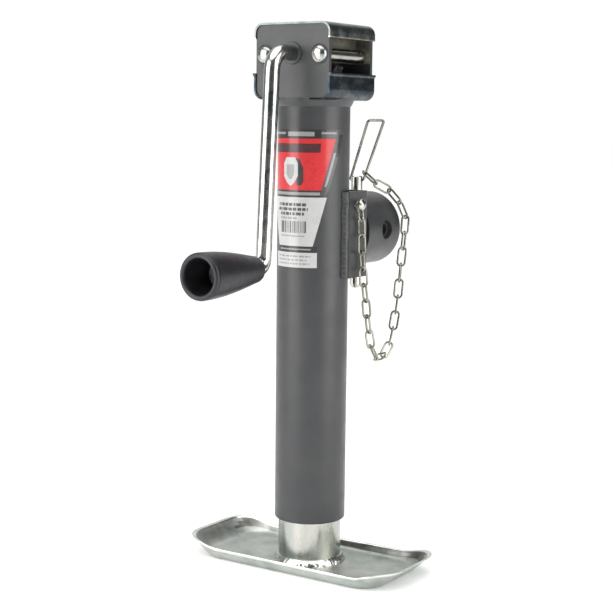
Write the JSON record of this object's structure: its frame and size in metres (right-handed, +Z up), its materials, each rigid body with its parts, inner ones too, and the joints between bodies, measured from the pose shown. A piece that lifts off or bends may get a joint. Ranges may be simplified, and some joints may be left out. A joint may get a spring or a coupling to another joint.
{
  "type": "trailer tongue jack",
  "caption": "Side-wind trailer tongue jack: telescoping tube raised by a cranked bevel gear and screw, with a flat foot and a pinned swivel pipe mount.",
  "frame": {"origin": "on the outer tube's axis, on the ground under the foot", "axes": "+Z up along the tube, +Y out of the rear towards the mounting pipe's free end, -Y towards the crank, X along the foot's long side"},
  "size_m": [0.202, 0.2457, 0.4335],
  "materials": {
    "grey_paint": "satin powder coat",
    "nylon": "moulded",
    "zinc_sheet": "bright zinc plate",
    "zinc_hardware": "bright zinc plate",
    "bare_steel": "turned, oiled",
    "bronze": "turned",
    "bearing_steel": "ground",
    "sintered_iron": "sintered",
    "zinc_rod": "bright zinc plate",
    "black_plastic": "satin moulded",
    "zinc_tube": "bright zinc plate",
    "zinc_foot": "pressed, zinc plated",
    "zinc_weld": "weld bead, zinc plated",
    "zinc_wire": "drawn wire",
    "zinc_chain": "zinc plated wire",
    "label_film": "printed film"
  },
  "bodies": {
    "jack": {"outer_tube": "grey_paint", "head_weld": "grey_paint", "guide_bush": "nylon", "front_plate": "grey_paint", "rear_plate": "grey_paint", "top_cover": "zinc_sheet", "bottom_cover": "zinc_sheet", "housing_rivets": "zinc_hardware", "rivet_spacers": "zinc_hardware", "front_shaft_bush": "grey_paint", "rear_shaft_bush": "grey_paint", "support_plate": "bare_steel", "screw_bush": "bronze", "upper_race": "bearing_steel", "swivel_bracket": "grey_paint", "bracket_welds": "grey_paint", "swivel_sleeve": "grey_paint", "sleeve_weld": "grey_paint", "mounting_stub": "grey_paint", "stub_snap_ring": "bare_steel", "tether_chain": "zinc_chain", "chain_rivet": "zinc_hardware", "label": "label_film"},
    "screw": {"lead_screw": "bare_steel", "screw_gear": "sintered_iron", "screw_gear_pin": "bare_steel", "lower_race": "bearing_steel", "bearing_balls": "bearing_steel", "ball_cage": "bronze", "stop_ring": "bare_steel", "stop_ring_pin": "bare_steel"},
    "crank": {"crank_rod": "zinc_rod", "pinion_gear": "sintered_iron", "pinion_pin": "bare_steel", "shaft_washer": "zinc_hardware", "shaft_clip": "bare_steel", "grip_push_nut": "bare_steel"},
    "grip": {"grip": "black_plastic"},
    "ram": {"inner_tube": "zinc_tube", "lead_nut": "bronze", "nut_pins": "bare_steel", "foot_pan": "zinc_foot", "foot_weld": "zinc_weld"},
    "pull_pin": {"pull_pin": "zinc_hardware"},
    "pin_handle": {"pin_handle": "zinc_wire"}
  },
  "joints": [
    {"name": "crank_turn", "type": "hinge", "parent": "jack", "child": "crank", "pos_m": [0, 0, 0.41], "axis": [0, 1, 0], "range_deg": [0, 36000]},
    {"name": "screw_spin", "type": "hinge", "parent": "jack", "child": "screw", "pos_m": [0, 0, 0.37], "axis": [0, 0, 1], "range_deg": [-18000, 0]},
    {"name": "ram_slide", "type": "slide", "parent": "jack", "child": "ram", "axis": [0, 0, -1], "range_m": [0, 0.254]},
    {"name": "grip_spin", "type": "hinge", "parent": "crank", "child": "grip", "pos_m": [0, -0.11, 0.247], "axis": [0, 1, 0], "continuous": true},
    {"name": "pin_pull", "type": "slide", "parent": "jack", "child": "pull_pin", "axis": [0, 0, 1], "range_m": [0, 0.094], "deforming": ["tether_chain"]},
    {"name": "handle_swing", "type": "hinge", "parent": "pull_pin", "child": "pin_handle", "pos_m": [0, 0.066, 0.3106], "axis": [1, 0, 0], "range_deg": [-50, 60], "deforming": ["tether_chain"]}
  ],
  "couplings": [
    {"joint": "screw_spin", "follows": "crank_turn", "ratio": -0.5},
    {"joint": "ram_slide", "follows": "crank_turn", "m_per_rad": 0.00040425}
  ]
}
